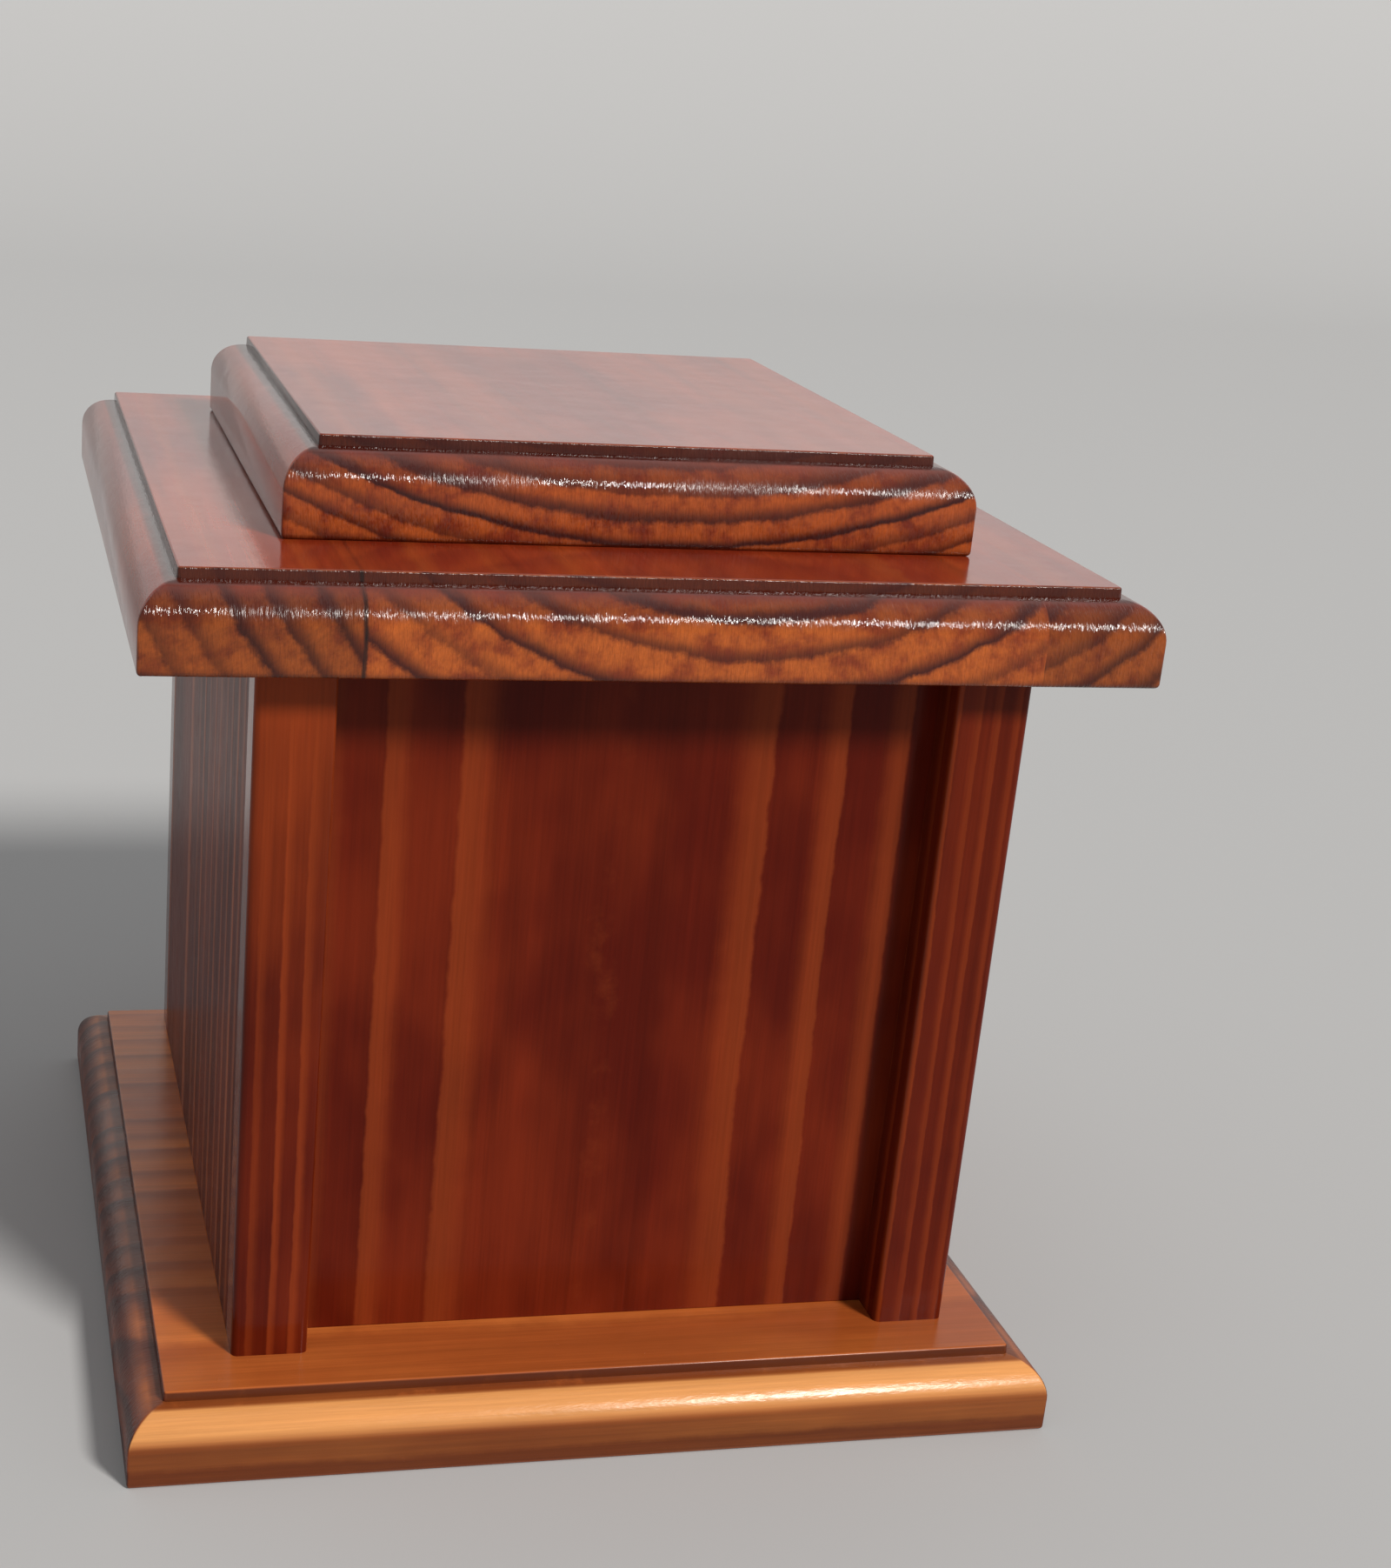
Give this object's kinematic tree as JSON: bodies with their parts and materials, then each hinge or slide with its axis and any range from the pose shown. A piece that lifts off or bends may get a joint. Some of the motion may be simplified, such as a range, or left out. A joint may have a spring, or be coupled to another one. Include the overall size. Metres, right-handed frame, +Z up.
{
  "type": "wooden cremation urn",
  "caption": "Square wooden box urn on a moulded base board, with four corner pilasters, a moulded lid board that rests on the box and a smaller cap board on the lid.",
  "frame": {"origin": "the middle of the base board's underside", "axes": "+Z up, the front panel faces -Y, +X to the right as seen from the front"},
  "size_m": [0.21, 0.219, 0.212],
  "materials": {
    "base_wood": "honey brown stain under gloss varnish",
    "side_wood": "dark red-brown stain under gloss varnish",
    "panel_wood": "red-brown stain under gloss varnish",
    "pilaster_wood": "chestnut stain under gloss varnish",
    "lid_wood": "chestnut stain under gloss varnish",
    "cap_wood": "red-brown stain under gloss varnish"
  },
  "bodies": {
    "root": {"base_board": "base_wood", "left_wall": "side_wood", "right_wall": "side_wood", "front_panel": "panel_wood", "back_panel": "panel_wood", "front_left_pilaster": "pilaster_wood", "front_right_pilaster": "pilaster_wood", "back_left_pilaster": "pilaster_wood", "back_right_pilaster": "pilaster_wood", "lid_board": "lid_wood", "cap_board": "cap_wood"}
  },
  "joints": []
}
